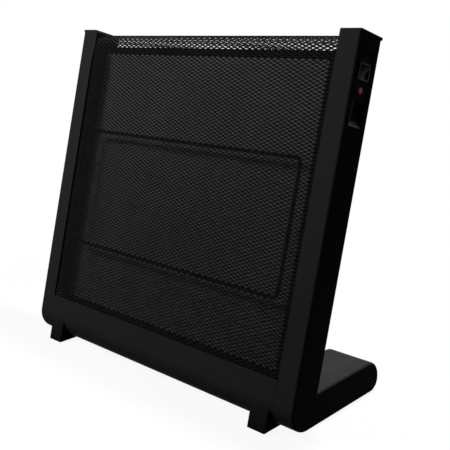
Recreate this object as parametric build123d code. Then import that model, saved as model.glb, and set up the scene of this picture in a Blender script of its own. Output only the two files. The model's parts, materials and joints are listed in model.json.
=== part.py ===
from build123d import *
import os
from math import cos, sin, tan, radians

# Mica panel heater on two foot arms: a thin radiant panel that leans back between two
# L-shaped side covers. Units are millimetres. X runs across the width with the controls on
# the +X side, the front faces -Y, and Z is up from the floor.

# Overall sizes
width = 620.0
height = 573.0
depth = 239.0
lean = 14.3

# Side covers: the leaning column and the foot arm behind it
stile_width = 35.4
column_depth = 57.0
cover_wall = 2.5
column_front_edge = 4.0
column_rear_edge = 5.0
arm_width = 85.0
arm_height = 55.0
arm_edge = 4.0
arm_end_top = 31.0
arm_end_bottom = 20.0
arm_shoulder = 2.0
arm_overlap = 20.0
ground_gap = 1.5
boss_radius = 5.0

# Inner covers, and the posts that hold them off the leg brackets
inner_cover_metal = 1.2
inner_cover_foot = 92.0
post_radius = 4.0
post_heights = (150.0, 390.0)
post_inward = 24.0

# Top caps
cap_thickness = 4.0
cap_overhang = 0.5
cap_rear_overhang = 0.5
cap_corner = 1.0
cap_lip_height = 8.0
cap_lip_wall = 1.6
cap_lip_gap = 0.5

# Lower rails
rail_top = 82.2
nose_radius = 37.0
seam_gap = 0.4
rear_rail_wall = 2.0
rib_width = 8.0
rib_top = 64.0
rib_places = (-200.0, -70.0, 70.0, 200.0)
rear_screw_height = 56.0

# Steel cross bar and leg brackets
bar_size = 18.0
bar_wall = 1.5
bar_back = 31.0
bar_up = 28.0
bracket_metal = 3.0
bracket_front = 15.0
bracket_rear = 40.0
bracket_foot = 30.0
bracket_top = 430.0
bracket_low = 19.0
bracket_high = 40.0
bracket_screw_places = ((26.0, 100.0), (26.0, 410.0))
bracket_screw_length = 4.2

# Toe feet
foot_width = 33.0
foot_centre = 250.5
foot_length = 46.0
foot_tip_height = 36.0
foot_screw_back = 26.0
foot_screw_length = 16.0

# Base covers and floor pads
base_cover_metal = 3.0
base_cover_edge = 6.5
base_cover_end = 22.0
base_screw_places = ((240.0, 96.0), (240.0, 206.0), (290.0, 206.0))
pad_radius = 9.0
pad_across = 264.0
pad_places = (112.0, 200.0)

# Guards: expanded metal, drawn here with openings three times too large
sheet_metal = 0.8
grille_tuck = 9.0
grille_foot = 72.0
grille_top = 586.6
opening_across = 39.0
opening_up = 18.0
strand = 3.6
grille_margin = 12.0
arch_margin = 2.5

# Stiffening wire behind the front guard
brace_wire = 6.0
brace_width = 486.0
brace_bottom = 196.0
brace_top = 404.7
brace_corner = 12.0

# Edge strips that hold the guards
strip_leg = 11.0
strip_metal = 1.0
strip_foot = 94.0
strip_top_gap = 1.0

# Heating element, a sandwich in the middle of the panel
element_front = 27.0
radiant_metal = 0.5
mica_thickness = 0.6
ribbon_thickness = 0.3
element_side_gap = 4.8
element_top = 565.5
element_bottom = 74.0
channel_lap = 13.0
side_channel_lap = 6.0
channel_metal = 1.0
ribbon_width = 7.0
ribbon_pitch = 11.5
ribbon_margin = 24.0
mica_margin = 2.0
spacer_radius = 6.0
spacer_heights = (110.0, 270.0, 440.0, 540.0)
cutout_across = 225.0
cutout_up = 486.0
cutout_radius = 8.0
cutout_height = 7.0

# Controls on the right column, measured up the slope and in from the front face
plate_bottom = 499.5
plate_top = 565.5
plate_front = 6.0
plate_rear = 43.5
plate_recess = 2.0
plate_metal = 2.0
plate_flange = 1.5
control_line = 26.5
switch_up = 536.0
bezel_across = 28.7
bezel_up = 24.5
bezel_rise = 1.6
switch_wall = 1.2
switch_back = 20.0
rocker_across = 21.6
rocker_up = 17.2
rocker_room = 0.8
rocker_side_room = 0.4
rocker_end_rise = 4.3
rocker_middle_rise = 3.2
rocker_root = 3.5
rocker_root_up = 10.0
rocker_pin_radius = 1.2
rocker_pin_length = 0.9
pin_clearance = 0.1
pivot_inset = 5.2
rocker_tilt = 8.0
lamp_up = 509.5
lamp_radius = 4.5
lamp_rise = 1.4
lamp_length = 12.0
holder_wall = 2.0

# Finger grips
grip_bottom = 458.0
grip_top = 494.5
grip_front = 8.7
grip_rear = 43.2
grip_depth = 9.0
grip_floor_front = 26.0
grip_floor_rear = 42.0
grip_floor_bottom = 466.5
grip_floor_top = 493.0
grip_wall = 1.4

# Supply gland in the rear of the right column
gland_across = 293.5
gland_up = 112.0
gland_bore_radius = 4.0
gland_neck_radius = 7.0
gland_flange_radius = 9.5
gland_flange = 2.5
gland_nut = 3.0

# Tip-over switch in the right foot arm
plunger_across = 274.0
plunger_back = 156.0
plunger_radius = 3.0
plunger_clearance = 0.4
plunger_collar_radius = 5.0
plunger_collar = 2.0
plunger_collar_up = 13.5
plunger_length = 20.0
tip_body_across = 22.0
tip_body_along = 30.0
tip_body_height = 27.0
tip_floor = 3.5
tip_roof = 3.0
spring_wire = 0.7
spring_radius = 4.0
spring_turns = 4

# Terminal block and wiring
terminal_across = (284.0, 300.0)
terminal_along = (95.0, 132.0)
terminal_height = 14.0
wire_radius = 1.3
wire_places = (289.7, 293.4, 297.1)
wire_end_gap = 0.6
wire_inward = 36.5
wire_bend = 15.0
wire_turn_up = 18.0
wire_turn_back = 47.0
wire_in_up = 12.0

# Fasteners
screw_radius = 2.0
screw_head_radius = 3.6
screw_head = 2.0
screw_clearance = 0.25
screw_length = 9.0

# Clearance between fitted pieces
fit_gap = 0.2

# Values worked out from the sizes above
half_width = width / 2
slope = radians(lean)
slope_top = height / cos(slope)
column_top = slope_top - cap_thickness
stile_inner = half_width - stile_width
arm_inner = half_width - arm_width
side_inside = half_width - cover_wall
inner_cover_x = stile_inner + fit_gap
column_inside_x = inner_cover_x + inner_cover_metal
guard_front = cover_wall + fit_gap
guard_back = guard_front + sheet_metal
arch_radius = column_depth / 2 - guard_front
arch_foot = grille_top - arch_radius
strip_top = arch_foot - strip_top_gap
bracket_x = side_inside - bracket_metal
element_thickness = 2 * radiant_metal + 2 * mica_thickness + ribbon_thickness
element_rear = element_front + element_thickness
element_middle = (element_front + element_rear) / 2
element_side = inner_cover_x - element_side_gap
plate_face = half_width - plate_recess
bezel_face = plate_face + bezel_rise
pivot_x = half_width - pivot_inset
base_cover_top = ground_gap + base_cover_metal

to_middle = Pos(0, -depth / 2, 0)
tilt = Rot(X=-lean)


def slope_point(up, inward):
    """A point of the side view, from its place up the slope and in from the front face."""
    return (up * sin(slope) + inward * cos(slope), up * cos(slope) - inward * sin(slope))


def back_at(z, inward=0.0):
    """How far back the front face, or a plane inward of it, stands at a height."""
    return z * tan(slope) + inward / cos(slope)


def inward_of(point):
    """How far in from the front face a point lies."""
    return point.Y * cos(slope) - point.Z * sin(slope)


def block(x0, x1, y0, y1, z0, z1):
    """A block between two corners."""
    return Pos((x0 + x1) / 2, (y0 + y1) / 2, (z0 + z1) / 2) * Box(x1 - x0, y1 - y0, z1 - z0)


def side_prism(points, x0, x1):
    """A side-view outline pushed out across the width from x0 to x1."""
    face = Plane.YZ * make_face(Polyline(*points, close=True))
    return extrude(Pos(x0, 0, 0) * face, x1 - x0)


def rod(start, direction, radius, length):
    """A round bar from a point along a direction."""
    along = (Align.CENTER, Align.CENTER, Align.MIN)
    return Plane(origin=start, z_dir=direction) * Cylinder(radius, length, align=along)


def screw(start, direction, length):
    """A pan-head screw: its head stands back from the start point, its shank goes forward."""
    back = tuple(-d for d in direction)
    return rod(start, back, screw_head_radius, screw_head) + rod(start, direction, screw_radius, length)


def screw_hole(start, direction, length):
    """The clearance hole of a screw."""
    return rod(start, direction, screw_radius + screw_clearance, length)


def on_left(shape):
    """The left-hand twin of a right-hand piece."""
    return mirror(shape, about=Plane.YZ)


def both_sides(pieces):
    """Right-hand pieces together with their left-hand twins."""
    return pieces + [on_left(piece) for piece in pieces]


def edges_where(shape, test):
    """The edges whose middle passes a test."""
    return [edge for edge in shape.edges() if test(edge.center())]


def nose_outline(inset, rear, up_to):
    """Side-view face of the front, the nose and the underside, back to a rear line."""
    floor = ground_gap + inset
    low_front = (back_at(floor, inset), floor)
    low_rear = (back_at(floor, rear), floor)
    points = [slope_point(up_to, inset), low_front, low_rear, slope_point(up_to, rear)]
    face = Plane.YZ * make_face(Polyline(*points, close=True))
    corner = face.vertices().sort_by_distance((0, *low_front))[0]
    return fillet(corner, nose_radius - inset)


def column_solid(inset, x_inner, up_to):
    """The leaning column with its rounded foot end, shrunk by an inset."""
    outer = half_width - inset
    column = extrude(Pos(x_inner, 0, 0) * nose_outline(inset, column_depth - inset, up_to), outer - x_inner)
    rear = edges_where(column, lambda c: c.X > outer - 0.01 and inward_of(c) > column_depth - inset - 0.01)
    column = fillet(rear, column_rear_edge - inset)
    front = edges_where(
        column, lambda c: c.X > outer - 0.01 and inward_of(c) < column_depth / 3 and c.Z < height)
    return fillet(front, column_front_edge - inset)


def arm_form(inset):
    """The foot arm with its rounded rear end, square edged, shrunk by an inset."""
    column_back = back_at(arm_height, column_depth)
    low = ground_gap + inset
    top = arm_height - inset
    rear = depth - inset
    start = column_back - arm_overlap
    outline = Plane.YZ * make_face(Polyline((start, low), (rear, low), (rear, top), (start, top), close=True))
    outline = fillet(outline.vertices().sort_by_distance((0, rear, top))[0], arm_end_top - inset)
    outline = fillet(outline.vertices().sort_by_distance((0, rear, low))[0], arm_end_bottom - inset)
    form = extrude(Pos(arm_inner + inset, 0, 0) * outline, arm_width - 2 * inset)
    shoulder = column_back + arm_shoulder + inset
    return form - block(0, stile_inner + inset, 0, shoulder, 0, height)


def arm_solid():
    """The outer form of the foot arm, with the edges of both its sides rounded."""
    arm = arm_form(0)
    behind = back_at(arm_height, column_depth) + arm_shoulder + 0.01
    inner = edges_where(arm, lambda c: abs(c.X - arm_inner) < 0.01 and c.Y > behind)
    outer = edges_where(arm, lambda c: abs(c.X - half_width) < 0.01 and c.Y > behind)
    return fillet(inner + outer, arm_edge)


def base_opening(grow):
    """The opening in the underside of the foot arm, grown all round."""
    front = back_at(arm_height, column_depth) + arm_shoulder + base_cover_edge
    return block(arm_inner + base_cover_edge - grow, half_width - base_cover_edge + grow,
                 front - grow, depth - base_cover_end + grow, ground_gap, base_cover_top)


def side_face(x, n0, n1, t0, t1):
    """A rectangle on the side of the upright column, facing outwards."""
    face = Plane.YZ * Rectangle(n1 - n0, t1 - t0)
    return Pos(x, (n0 + n1) / 2, (t0 + t1) / 2) * face


def side_block(x0, x1, n, t, size_n, size_t):
    """A block on the side of the upright column, centred in depth and up the slope."""
    return block(x0, x1, n - size_n / 2, n + size_n / 2, t - size_t / 2, t + size_t / 2)


def grip_form(grow, depth_in):
    """The tapering form of a finger grip, grown all round by a wall."""
    mouth = side_face(half_width, grip_front - grow, grip_rear + grow, grip_bottom - grow, grip_top + grow)
    floor = side_face(half_width - depth_in, grip_floor_front - grow, grip_floor_rear + grow,
                      grip_floor_bottom - grow, grip_floor_top + grow)
    return loft([mouth, floor], ruled=True)


def grip_rim():
    """The rim of a grip cup where it fills its window in the side wall."""
    return block(side_inside, half_width, grip_front - grip_wall, grip_rear + grip_wall,
                 grip_bottom - grip_wall, grip_top + grip_wall)


def plate_window(x0, x1, grow):
    """The window of the control plate, grown all round."""
    return block(x0, x1, plate_front - grow, plate_rear + grow, plate_bottom - grow, plate_top + grow)


def bracket_screw_hole(inward, up):
    """The hole of a bracket screw, through the bracket and blind in the side wall."""
    return screw_hole((bracket_x, inward, up), (1, 0, 0), bracket_screw_length + fit_gap)


def make_side_cover(with_controls):
    """A side cover, right-hand: column and foot arm in one moulding, with its openings."""
    cover = column_solid(0, stile_inner, column_top) + arm_solid()
    cover -= column_solid(cover_wall, stile_inner - cover_wall, column_top + cover_wall)
    cover -= arm_form(cover_wall)
    cover -= base_opening(0)
    cover -= tilt * grip_rim()
    for inward, up in bracket_screw_places:
        cover -= tilt * bracket_screw_hole(inward, up)
    for x, y in base_screw_places:
        boss = rod((x, y, base_cover_top), (0, 0, 1), boss_radius, arm_height - cover_wall / 2 - base_cover_top)
        cover += boss - screw_hole((x, y, 0), (0, 0, 1), base_cover_top + screw_length)
    if with_controls:
        cover -= tilt * plate_window(side_inside - 1, half_width + 1, 0)
        cover -= tilt * rod((gland_across, guard_back, gland_up), (0, 1, 0), gland_neck_radius, column_depth)
    return cover


def make_inner_cover():
    """The sheet that closes the inner side of the right column."""
    front = guard_back + fit_gap
    cover = block(inner_cover_x, column_inside_x, front, column_depth - front, inner_cover_foot, column_top)
    for up in spacer_heights:
        cover -= screw_hole((stile_inner - 5, element_middle, up), (1, 0, 0), 15)
    return tilt * cover


def make_posts():
    """The posts between the right leg bracket and its inner cover."""
    reach = bracket_x - column_inside_x
    posts = [rod((column_inside_x, post_inward, up), (1, 0, 0), post_radius, reach) for up in post_heights]
    return [tilt * post for post in posts]


def make_top_cap():
    """The cap on the right column: a thin plate with a lip that plugs into the column."""
    outer = half_width + cap_overhang
    plate = block(stile_inner, outer, 0, column_depth + cap_rear_overhang, column_top, slope_top)
    mid_up = (column_top + slope_top) / 2
    corners = edges_where(plate, lambda c: c.X > outer - 0.01 and abs(c.Z - mid_up) < 0.01)
    plate = fillet(corners, cap_corner)
    x0 = column_inside_x + cap_lip_gap
    x1 = side_inside - cap_lip_gap
    n0 = cover_wall + cap_lip_gap
    n1 = column_depth - column_rear_edge
    wall = cap_lip_wall
    foot = column_top - cap_lip_height
    lip = block(x0, x1, n0, n1, foot, column_top)
    lip -= block(x0 + wall, x1 - wall, n0 + wall, n1 - wall, foot, column_top)
    return tilt * (plate + lip)


def rear_screw_hole(x):
    """The hole of a rear rail screw, through the rail and into its rib."""
    return screw_hole((x, column_depth, rear_screw_height), (0, -1, 0), screw_length + fit_gap)


def make_front_rail():
    """The lower front rail: a wall that turns under in a wide nose, with ribs for the cross bar."""
    half = stile_inner - seam_gap
    rear = column_depth - rear_rail_wall
    rail = extrude(Pos(-half, 0, 0) * nose_outline(0, rear, rail_top), 2 * half)
    room = nose_outline(cover_wall, rear + cover_wall, rail_top + cover_wall)
    rail -= extrude(Pos(-half - 1, 0, 0) * room, 2 * half + 2)
    for place in rib_places:
        rib = extrude(Pos(place - rib_width / 2, 0, 0) * nose_outline(cover_wall, rear, rib_top), rib_width)
        slot = bar_size / 2 + fit_gap
        rib -= block(-half, half, bar_back - slot, bar_back + slot, bar_up - bar_size / 2, height)
        rib -= tilt * rear_screw_hole(place)
        rail += rib
    for side in (-1, 1):
        start = (side * foot_centre, foot_screw_back, 0)
        rail -= screw_hole(start, (0, 0, 1), foot_screw_length + 1)
    return rail


def make_rear_rail():
    """The lower rear rail between the columns."""
    half = stile_inner - seam_gap
    inner = column_depth - rear_rail_wall
    floor = ground_gap
    outline = [slope_point(rail_top, inner), (back_at(floor, inner), floor),
               (back_at(floor, column_depth), floor), slope_point(rail_top, column_depth)]
    rail = side_prism(outline, -half, half)
    for place in rib_places:
        rail -= tilt * rear_screw_hole(place)
    return rail


def make_cross_bar():
    """The square steel tube that ties the two leg brackets together."""
    outer = bar_size / 2
    inner = outer - bar_wall
    bar = block(-bracket_x, bracket_x, bar_back - outer, bar_back + outer, bar_up - outer, bar_up + outer)
    hollow = block(-half_width, half_width, bar_back - inner, bar_back + inner, bar_up - inner, bar_up + inner)
    return bar - hollow


def make_leg_bracket():
    """The steel L inside the right cover, up the column and along the arm."""
    column = block(bracket_x, side_inside, bracket_front, bracket_rear, bracket_foot, bracket_top)
    for inward, up in bracket_screw_places:
        column -= bracket_screw_hole(inward, up)
    arm = block(bracket_x, side_inside, bar_back - bar_size / 2, depth - arm_end_top,
                bracket_low, bracket_high)
    return tilt * column + arm


def make_bracket_screws():
    """The screws that hold the right leg bracket to its side cover."""
    places = bracket_screw_places
    return [tilt * screw((bracket_x, inward, up), (1, 0, 0), bracket_screw_length) for inward, up in places]


def make_base_cover():
    """The plate that closes the underside of the right foot arm."""
    plate = base_opening(-fit_gap)
    plate -= rod((plunger_across, plunger_back, 0), (0, 0, 1), plunger_radius + plunger_clearance, arm_height)
    for x, y in base_screw_places:
        plate -= screw_hole((x, y, 0), (0, 0, 1), arm_height)
        plate -= rod((x, y, 0), (0, 0, 1), screw_head_radius + screw_clearance, ground_gap + screw_head)
    return plate


def make_base_screws():
    """The screws of the right base cover, their heads sunk flush."""
    start = ground_gap + screw_head
    return [screw((x, y, start), (0, 0, 1), screw_length) for x, y in base_screw_places]


def make_floor_pads():
    """The rubber pads under the right foot arm."""
    return [rod((pad_across, y, 0), (0, 0, 1), pad_radius, ground_gap) for y in pad_places]


def make_toe_foot():
    """The right toe foot, which fills the corner between the leaning front, the nose and the floor."""
    x0 = foot_centre - foot_width / 2
    x1 = foot_centre + foot_width / 2
    top = foot_tip_height
    foot = side_prism([(0, 0), (foot_length, 0), (foot_length, top), (back_at(top), top)], x0, x1)
    foot -= extrude(Pos(x0 - 1, 0, 0) * nose_outline(0, column_depth, rail_top), foot_width + 2)
    foot -= screw_hole((foot_centre, foot_screw_back, 0), (0, 0, 1), arm_height)
    sink = screw_head_radius + screw_clearance
    foot -= rod((foot_centre, foot_screw_back, 0), (0, 0, 1), sink, screw_head + 1)
    return foot


def make_foot_screw():
    """The screw that holds the right toe foot to the rail."""
    return screw((foot_centre, foot_screw_back, screw_head + 1), (0, 0, 1), foot_screw_length - screw_head - 1)


def opening_pattern(x_limit, low, high):
    """Centres of staggered openings that lie wholly inside a rectangle."""
    rows = int((high - low) / (opening_up / 2)) - 1
    first = (low + high - (rows - 1) * opening_up / 2) / 2
    centres = []
    for row in range(rows):
        shift = opening_across / 2 if row % 2 else 0.0
        count = int((x_limit - opening_across / 2 - shift) / opening_across)
        for k in range(-count - (1 if shift else 0), count + 1):
            centres.append((k * opening_across + shift, first + row * opening_up / 2))
    return centres


def opening_outline(centre):
    """One diamond opening of the guard, a strand's width smaller than its cell."""
    x, t = centre
    a = opening_across / 2
    b = opening_up / 2
    shrink = 1 - (strand / 2) / (a * b / (a * a + b * b) ** 0.5)
    a *= shrink
    b *= shrink
    return Polyline((x - a, t), (x, t - b), (x + a, t), (x, t + b), close=True)


def guard_sheet(n0):
    """A flat guard sheet with its openings, its near face at a depth."""
    wide = stile_inner + grille_tuck
    centres = opening_pattern(stile_inner - grille_margin, grille_foot + grille_margin, arch_foot)
    holes = [Wire(opening_outline(c)) for c in centres]
    corners = [(-wide, grille_foot), (wide, grille_foot), (wide, arch_foot), (-wide, arch_foot)]
    outline = Wire(Polyline(*corners, close=True))
    upright = Plane(origin=(0, n0 + sheet_metal, 0), x_dir=(1, 0, 0), z_dir=(0, -1, 0))
    return extrude(upright * Face(outline, holes), sheet_metal)


def guard_arch():
    """The half-round top of the front guard, which reaches over to the rear guard."""
    half = stile_inner - seam_gap
    rear = column_depth - guard_front
    centres = opening_pattern(stile_inner - grille_margin, guard_back + arch_margin, rear - arch_margin)
    holes = [Wire(opening_outline(c)) for c in centres]
    corners = [(-half, guard_front), (half, guard_front), (half, rear), (-half, rear)]
    outline = Wire(Polyline(*corners, close=True))
    stock = extrude(Pos(0, 0, arch_foot) * Face(outline, holes), arch_radius)
    middle = (-half, column_depth / 2, arch_foot)
    ring = rod(middle, (1, 0, 0), arch_radius, 2 * half)
    ring -= rod(middle, (1, 0, 0), arch_radius - sheet_metal, 2 * half)
    return stock & ring


def make_front_grille():
    """The front guard with its half-round top."""
    return tilt * (guard_sheet(guard_front) + guard_arch())


def make_rear_grille():
    """The rear guard, a flat sheet up to the foot of the half-round top."""
    return tilt * guard_sheet(column_depth - guard_back)


def make_grille_brace():
    """The stiffening wire behind the front guard, bent to a rounded rectangle."""
    middle = (brace_bottom + brace_top) / 2
    loop = RectangleRounded(brace_width, brace_top - brace_bottom, brace_corner)
    place = Plane(origin=(0, guard_back + brace_wire / 2, middle), x_dir=(1, 0, 0), z_dir=(0, -1, 0))
    path = (place * loop).wire()
    section = Plane(origin=path @ 0, z_dir=path % 0) * Circle(brace_wire / 2)
    return tilt * sweep(section, path=path)


def make_guard_strips():
    """The angle strips that hold the right edges of both guards against the inner cover."""
    x1 = inner_cover_x
    x0 = x1 - strip_leg
    front = block(x0, x1, guard_back, guard_back + strip_metal, strip_foot, strip_top)
    front += block(x1 - strip_metal, x1, guard_back, guard_back + strip_leg, strip_foot, strip_top)
    n1 = column_depth - guard_back
    rear = block(x0, x1, n1 - strip_metal, n1, strip_foot, strip_top)
    rear += block(x1 - strip_metal, x1, n1 - strip_leg, n1, strip_foot, strip_top)
    return [tilt * front, tilt * rear]


def element_sheet(front, thickness, margin):
    """One flat layer of the heating element."""
    x = element_side - channel_metal - margin
    low = element_bottom + channel_metal + margin
    high = element_top - channel_metal - margin
    return tilt * block(-x, x, front, front + thickness, low, high)


def make_heating_ribbon():
    """The flat resistance ribbon between the mica boards, laid up and down in a meander."""
    low = element_bottom + ribbon_margin
    high = element_top - ribbon_margin
    reach = element_side - ribbon_margin
    runs = int(2 * reach / ribbon_pitch)
    runs -= runs % 2
    start = -(runs - 1) * ribbon_pitch / 2
    front = element_front + radiant_metal + mica_thickness
    half = ribbon_width / 2
    bars = []
    for k in range(runs):
        x = start + k * ribbon_pitch
        bars.append(Pos(x, (low + high) / 2) * Rectangle(ribbon_width, high - low))
        if k < runs - 1:
            end = high - half if k % 2 == 0 else low + half
            bars.append(Pos(x + ribbon_pitch / 2, end) * Rectangle(ribbon_pitch, ribbon_width))
    upright = Plane(origin=(0, front + ribbon_thickness, 0), x_dir=(1, 0, 0), z_dir=(0, -1, 0))
    flat = Sketch() + bars
    return tilt * extrude(upright * flat, ribbon_thickness)


def make_level_channel(at_top):
    """The channel over the top or bottom edge of the element."""
    half = element_side
    n0 = element_front - channel_metal
    n1 = element_rear + channel_metal
    if at_top:
        web = (element_top - channel_metal, element_top)
        legs = (element_top - channel_lap, element_top)
    else:
        web = (element_bottom, element_bottom + channel_metal)
        legs = (element_bottom, element_bottom + channel_lap)
    channel = block(-half, half, n0, n1, *web)
    channel += block(-half, half, n0, element_front, *legs)
    channel += block(-half, half, element_rear, n1, *legs)
    return tilt * channel


def make_side_channel():
    """The channel over the right edge of the element, between the level channels."""
    low = element_bottom + channel_lap
    high = element_top - channel_lap
    x1 = element_side
    x0 = x1 - side_channel_lap
    n0 = element_front - channel_metal
    n1 = element_rear + channel_metal
    channel = block(x1 - channel_metal, x1, n0, n1, low, high)
    channel += block(x0, x1, n0, element_front, low, high)
    channel += block(x0, x1, element_rear, n1, low, high)
    for up in spacer_heights:
        channel -= screw_hole((x1 - channel_metal, element_middle, up), (1, 0, 0), 2 * channel_metal)
    return tilt * channel


def make_spacers():
    """The ceramic spacers between the element and the right inner cover."""
    spacers = []
    for up in spacer_heights:
        spacer = rod((element_side, element_middle, up), (1, 0, 0), spacer_radius, element_side_gap)
        spacer -= screw_hole((element_side, element_middle, up), (1, 0, 0), element_side_gap)
        spacers.append(tilt * spacer)
    return spacers


def make_element_screws():
    """The screws that carry the element on the right inner cover."""
    reach = column_inside_x - element_side + channel_metal
    return [tilt * screw((column_inside_x, element_middle, up), (-1, 0, 0), reach) for up in spacer_heights]


def make_thermal_cutout():
    """The bimetal cut-out that rests on the rear of the element."""
    can = rod((cutout_across, element_rear, cutout_up), (0, 1, 0), cutout_radius, cutout_height)
    tab_reach = cutout_radius + 6
    tabs = block(cutout_across - tab_reach, cutout_across + tab_reach, element_rear + cutout_height - 2,
                 element_rear + cutout_height - 1.2, cutout_up - 3, cutout_up + 3)
    return tilt * (can + tabs)


def make_control_plate():
    """The recessed plate behind the window of the right column."""
    plate = plate_window(side_inside - plate_metal, side_inside, plate_flange)
    plate += plate_window(side_inside, plate_face, -fit_gap)
    body_n = rocker_across + 2 * (rocker_side_room + switch_wall)
    body_t = rocker_up + 2 * (rocker_room + switch_wall)
    plate -= side_block(bracket_x, half_width, control_line, switch_up, body_n, body_t)
    plate -= rod((bracket_x - 1, control_line, lamp_up), (1, 0, 0), lamp_radius + fit_gap / 2, half_width)
    return tilt * plate


def make_switch_body():
    """The housing of the rocker switch, with its bezel and pivot holes."""
    body_n = rocker_across + 2 * (rocker_side_room + switch_wall)
    body_t = rocker_up + 2 * (rocker_room + switch_wall)
    back = plate_face - switch_back
    body = side_block(back, plate_face, control_line, switch_up, body_n, body_t)
    body += side_block(plate_face, bezel_face, control_line, switch_up, bezel_across, bezel_up)
    room_n = rocker_across + 2 * rocker_side_room
    room_t = rocker_up + 2 * rocker_room
    floor = pivot_x - rocker_root - 2.5
    body -= side_block(floor, half_width + 1, control_line, switch_up, room_n, room_t)
    pins = rocker_across + 2 * rocker_pin_length + 2 * pin_clearance
    start = (pivot_x, control_line - pins / 2, switch_up)
    body -= rod(start, (0, 1, 0), rocker_pin_radius + pin_clearance, pins)
    return tilt * body


def make_rocker():
    """The rocker, at rest with its lower half pressed in, and its two pivot pins."""
    end = rocker_up / 2
    root = rocker_root_up / 2
    outline = [(-rocker_root, -root), (rocker_end_rise - 2, -end), (rocker_end_rise, -end),
               (rocker_middle_rise, 0), (rocker_end_rise, end), (rocker_end_rise - 2, end),
               (-rocker_root, root)]
    upright = Plane(origin=(0, rocker_across / 2, 0), x_dir=(1, 0, 0), z_dir=(0, -1, 0))
    rocker = extrude(upright * make_face(Polyline(*outline, close=True)), rocker_across)
    pins = rocker_across + 2 * rocker_pin_length
    rocker += rod((0, -pins / 2, 0), (0, 1, 0), rocker_pin_radius, pins)
    return tilt * Pos(pivot_x, control_line, switch_up) * Rot(Y=rocker_tilt) * rocker


def make_pilot_lens():
    """The pilot lamp's lens, a short rod with a domed end."""
    back = plate_face + lamp_rise - lamp_length
    lens = rod((back, control_line, lamp_up), (1, 0, 0), lamp_radius, lamp_length)
    tip = edges_where(lens, lambda c: c.X > plate_face + lamp_rise - 0.01)
    return tilt * fillet(tip, lamp_rise - 0.1)


def make_lamp_holder():
    """The cup that holds the pilot lamp behind the plate."""
    back = plate_face + lamp_rise - lamp_length
    face = side_inside - plate_metal
    outer = lamp_radius + holder_wall
    cup = rod((back - holder_wall, control_line, lamp_up), (1, 0, 0), outer, face - back + holder_wall)
    return tilt * (cup - rod((back, control_line, lamp_up), (1, 0, 0), lamp_radius + fit_gap / 2, lamp_length))


def make_grip_cup():
    """The scooped finger grip of the right column."""
    cup = grip_rim() + grip_form(grip_wall, grip_depth + grip_wall)
    return tilt * (cup - grip_form(0, grip_depth))


def make_gland():
    """The bush in the rear of the right column that the supply cord would pass through."""
    inside = column_depth - cover_wall - gland_nut
    start = (gland_across, inside, gland_up)
    bush = rod(start, (0, 1, 0), gland_neck_radius, gland_nut + cover_wall)
    bush += rod((gland_across, column_depth, gland_up), (0, 1, 0), gland_flange_radius, gland_flange)
    return tilt * (bush - rod(start, (0, 1, 0), gland_bore_radius, column_depth))


def make_gland_nut():
    """The nut that holds the bush from inside."""
    start = (gland_across, column_depth - cover_wall - gland_nut, gland_up)
    nut = rod(start, (0, 1, 0), gland_flange_radius, gland_nut)
    return tilt * (nut - rod(start, (0, 1, 0), gland_neck_radius, gland_nut))


def make_terminal_block():
    """The terminal block on the right base cover, with its clamp screws' wells."""
    top = base_cover_top + terminal_height
    terminal = block(*terminal_across, *terminal_along, base_cover_top, top)
    middle = sum(terminal_across) / 2
    for k in range(3):
        y = terminal_along[0] + (k + 0.5) * (terminal_along[1] - terminal_along[0]) / 3
        terminal -= rod((middle, y, top - 5), (0, 0, 1), 2.5, 6)
    return terminal


def make_wiring():
    """The wires inside the right column, from the terminal block up to the switch."""
    body_t = rocker_up + 2 * (rocker_room + switch_wall)
    wires = []
    for x in wire_places:
        top = slope_point(switch_up - body_t / 2 - wire_end_gap, wire_inward)
        end_back = terminal_along[0] - wire_end_gap
        points = [(x, *top), (x, wire_turn_back, wire_turn_up), (x, end_back, wire_in_up)]
        path = FilletPolyline(*points, radius=wire_bend)
        section = Plane(origin=path @ 0, z_dir=path % 0) * Circle(wire_radius)
        wires.append(sweep(section, path=path))
    return wires


def make_tip_body():
    """The housing of the tip-over switch, which stands on the right base cover."""
    half_x = tip_body_across / 2
    half_y = tip_body_along / 2
    top = base_cover_top + tip_body_height
    body = block(plunger_across - half_x, plunger_across + half_x, plunger_back - half_y, plunger_back + half_y,
                 base_cover_top, top)
    start = (plunger_across, plunger_back, base_cover_top)
    body -= rod(start, (0, 0, 1), plunger_radius + plunger_clearance, tip_body_height - tip_roof)
    chamber = (plunger_across, plunger_back, base_cover_top + tip_floor)
    room = tip_body_height - tip_roof - tip_floor
    body -= rod(chamber, (0, 0, 1), plunger_collar_radius + plunger_clearance, room)
    return body


def make_plunger():
    """The tip-over plunger, pressed in by the floor."""
    plunger = rod((plunger_across, plunger_back, 0), (0, 0, 1), plunger_radius, plunger_length)
    collar = (plunger_across, plunger_back, plunger_collar_up)
    return plunger + rod(collar, (0, 0, 1), plunger_collar_radius, plunger_collar)


def make_plunger_spring():
    """The coil spring above the plunger's collar."""
    low = plunger_collar_up + plunger_collar + spring_wire / 2 + 0.05
    high = base_cover_top + tip_body_height - tip_roof - spring_wire / 2 - 0.05
    coil = Helix(pitch=(high - low) / spring_turns, height=high - low, radius=spring_radius)
    section = Plane(origin=coil @ 0, z_dir=coil % 0) * Circle(spring_wire / 2)
    return Pos(plunger_across, plunger_back, low) * sweep(section, path=coil)


def make_rear_screws():
    """The screws that hold the rear rail to the ribs of the front rail."""
    return [tilt * screw((x, column_depth, rear_screw_height), (0, -1, 0), screw_length) for x in rib_places]


def make_earth_tab():
    """The earth tab on top of the cross bar."""
    top = bar_up + bar_size / 2
    x = stile_inner + 4
    return block(x, x + 8, bar_back - 4, bar_back + 4, top, top + 1)


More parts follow.
